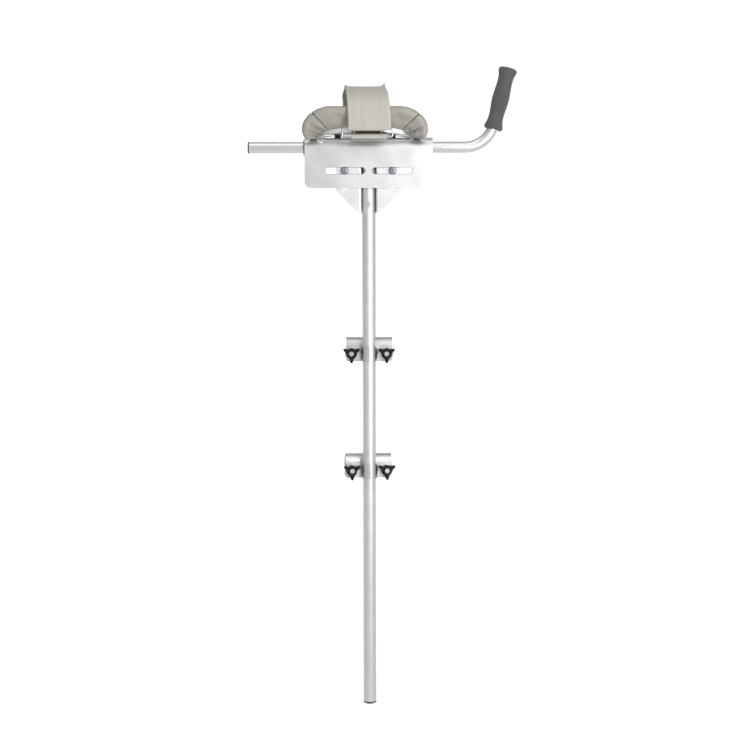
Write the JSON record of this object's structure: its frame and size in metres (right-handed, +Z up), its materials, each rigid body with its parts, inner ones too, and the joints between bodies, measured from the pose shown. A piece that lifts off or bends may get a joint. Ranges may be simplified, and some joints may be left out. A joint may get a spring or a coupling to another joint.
{
  "type": "walking frame forearm platform",
  "caption": "Padded forearm trough with strap and hand grip on an upright tube that clamps to the side rails of a walking frame.",
  "frame": {"origin": "on the axis of the rail held by the upper clamp, midway along that clamp", "axes": "+Z up along the post, +X along the forearm towards the hand grip, +Y away from the clamp knobs, from the post towards the rail"},
  "size_m": [0.4436, 0.128, 1.0579],
  "materials": {
    "tube_aluminium": "satin anodised",
    "plate_aluminium": "satin mill finish",
    "zinc_steel": "zinc plated",
    "dark_zinc_steel": "bluish zinc plated",
    "chrome_wire": "polished",
    "black_plastic": "semi-gloss moulded",
    "grey_plastic": "matte moulded",
    "nylon_liner": "matte extruded",
    "pad_vinyl": "soft grained vinyl",
    "webbing": "woven with a stitched hem",
    "grip_foam": "moulded closed-cell foam"
  },
  "bodies": {
    "post": {"post_tube": "tube_aluminium", "post_end_plug": "grey_plastic", "upright_bracket": "plate_aluminium", "post_bolt": "zinc_steel", "post_nut": "zinc_steel"},
    "saddle_bolt_set": {"saddle_bolts": "dark_zinc_steel", "saddle_washers": "zinc_steel", "saddle_nuts": "zinc_steel"},
    "platform": {"saddle_plate": "plate_aluminium", "lock_boss": "plate_aluminium", "platform_pan": "plate_aluminium", "pan_spacers": "black_plastic", "pan_screws": "zinc_steel", "pad": "pad_vinyl", "near_ring": "chrome_wire", "far_ring": "chrome_wire", "near_anchor_strap": "webbing", "far_anchor_strap": "webbing", "strap_rivets": "zinc_steel", "forearm_strap": "webbing"},
    "liner": {"arm_liner": "nylon_liner"},
    "handle": {"arm_tube": "tube_aluminium", "arm_end_plug": "grey_plastic", "hand_grip": "grip_foam"},
    "arm_lock_seat": {"arm_lock_washer": "zinc_steel"},
    "arm_lock": {"arm_lock_knob": "black_plastic", "arm_lock_insert": "chrome_wire", "arm_lock_screw": "zinc_steel"},
    "upper_clamp": {"upper_rail_hook": "plate_aluminium", "upper_post_band": "plate_aluminium", "upper_clamp_bolts": "zinc_steel"},
    "upper_left_seat": {"upper_left_washer": "zinc_steel"},
    "upper_left_knob": {"upper_left_knob": "black_plastic", "upper_left_insert": "chrome_wire"},
    "upper_right_seat": {"upper_right_washer": "zinc_steel"},
    "upper_right_knob": {"upper_right_knob": "black_plastic", "upper_right_insert": "chrome_wire"},
    "lower_clamp": {"lower_rail_hook": "plate_aluminium", "lower_post_band": "plate_aluminium", "lower_clamp_bolts": "zinc_steel"},
    "lower_left_seat": {"lower_left_washer": "zinc_steel"},
    "lower_left_knob": {"lower_left_knob": "black_plastic", "lower_left_insert": "chrome_wire"},
    "lower_right_seat": {"lower_right_washer": "zinc_steel"},
    "lower_right_knob": {"lower_right_knob": "black_plastic", "lower_right_insert": "chrome_wire"}
  },
  "joints": [
    {"name": "platform_height", "type": "slide", "parent": "post", "child": "saddle_bolt_set", "axis": [0, 0, 1], "range_m": [-0.008, 0.004]},
    {"name": "platform_shift", "type": "slide", "parent": "saddle_bolt_set", "child": "platform", "axis": [1, 0, 0], "range_m": [-0.027, 0.027]},
    {"name": "handle_swing", "type": "hinge", "parent": "platform", "child": "liner", "pos_m": [0, -0.02428, 0.3263], "axis": [1, 0, 0], "range_deg": [-90, 90]},
    {"name": "handle_reach", "type": "slide", "parent": "liner", "child": "handle", "axis": [1, 0, 0], "range_m": [-0.05, 0.085]},
    {"name": "arm_lock_travel", "type": "slide", "parent": "platform", "child": "arm_lock_seat", "axis": [0, 1, 0], "range_m": [0, 0.0031]},
    {"name": "arm_lock_turn", "type": "hinge", "parent": "arm_lock_seat", "child": "arm_lock", "pos_m": [0.046, 0, 0.3263], "axis": [0, 1, 0], "range_deg": [0, 1080]},
    {"name": "upper_clamp_slide", "type": "slide", "parent": "post", "child": "upper_clamp", "axis": [0, 0, 1], "range_m": [-0.06, 0.195]},
    {"name": "upper_left_washer_travel", "type": "slide", "parent": "upper_clamp", "child": "upper_left_seat", "axis": [0, -1, 0], "range_m": [0, 0.0031]},
    {"name": "upper_left_knob_turn", "type": "hinge", "parent": "upper_left_seat", "child": "upper_left_knob", "pos_m": [-0.0292, -0.02428, -0.01425], "axis": [0, -1, 0], "range_deg": [0, 1080]},
    {"name": "upper_right_washer_travel", "type": "slide", "parent": "upper_clamp", "child": "upper_right_seat", "axis": [0, -1, 0], "range_m": [0, 0.0031]},
    {"name": "upper_right_knob_turn", "type": "hinge", "parent": "upper_right_seat", "child": "upper_right_knob", "pos_m": [0.0292, -0.02428, -0.01425], "axis": [0, -1, 0], "range_deg": [0, 1080]},
    {"name": "lower_clamp_slide", "type": "slide", "parent": "post", "child": "lower_clamp", "axis": [0, 0, 1], "range_m": [-0.35, 0.055]},
    {"name": "lower_left_washer_travel", "type": "slide", "parent": "lower_clamp", "child": "lower_left_seat", "axis": [0.1045, -0.9945, 0], "range_m": [0, 0.0031]},
    {"name": "lower_left_knob_turn", "type": "hinge", "parent": "lower_left_seat", "child": "lower_left_knob", "pos_m": [-0.02904, -0.02733, -0.20885], "axis": [0.1045, -0.9945, 0], "range_deg": [0, 1080]},
    {"name": "lower_right_washer_travel", "type": "slide", "parent": "lower_clamp", "child": "lower_right_seat", "axis": [0.1045, -0.9945, 0], "range_m": [0, 0.0031]},
    {"name": "lower_right_knob_turn", "type": "hinge", "parent": "lower_right_seat", "child": "lower_right_knob", "pos_m": [0.02904, -0.02123, -0.20885], "axis": [0.1045, -0.9945, 0], "range_deg": [0, 1080]}
  ],
  "couplings": [
    {"joint": "arm_lock_travel", "follows": "arm_lock_turn", "m_per_rad": 0.00015915},
    {"joint": "upper_left_washer_travel", "follows": "upper_left_knob_turn", "m_per_rad": 0.00015915},
    {"joint": "upper_right_washer_travel", "follows": "upper_right_knob_turn", "m_per_rad": 0.00015915},
    {"joint": "lower_left_washer_travel", "follows": "lower_left_knob_turn", "m_per_rad": 0.00015915},
    {"joint": "lower_right_washer_travel", "follows": "lower_right_knob_turn", "m_per_rad": 0.00015915}
  ]
}
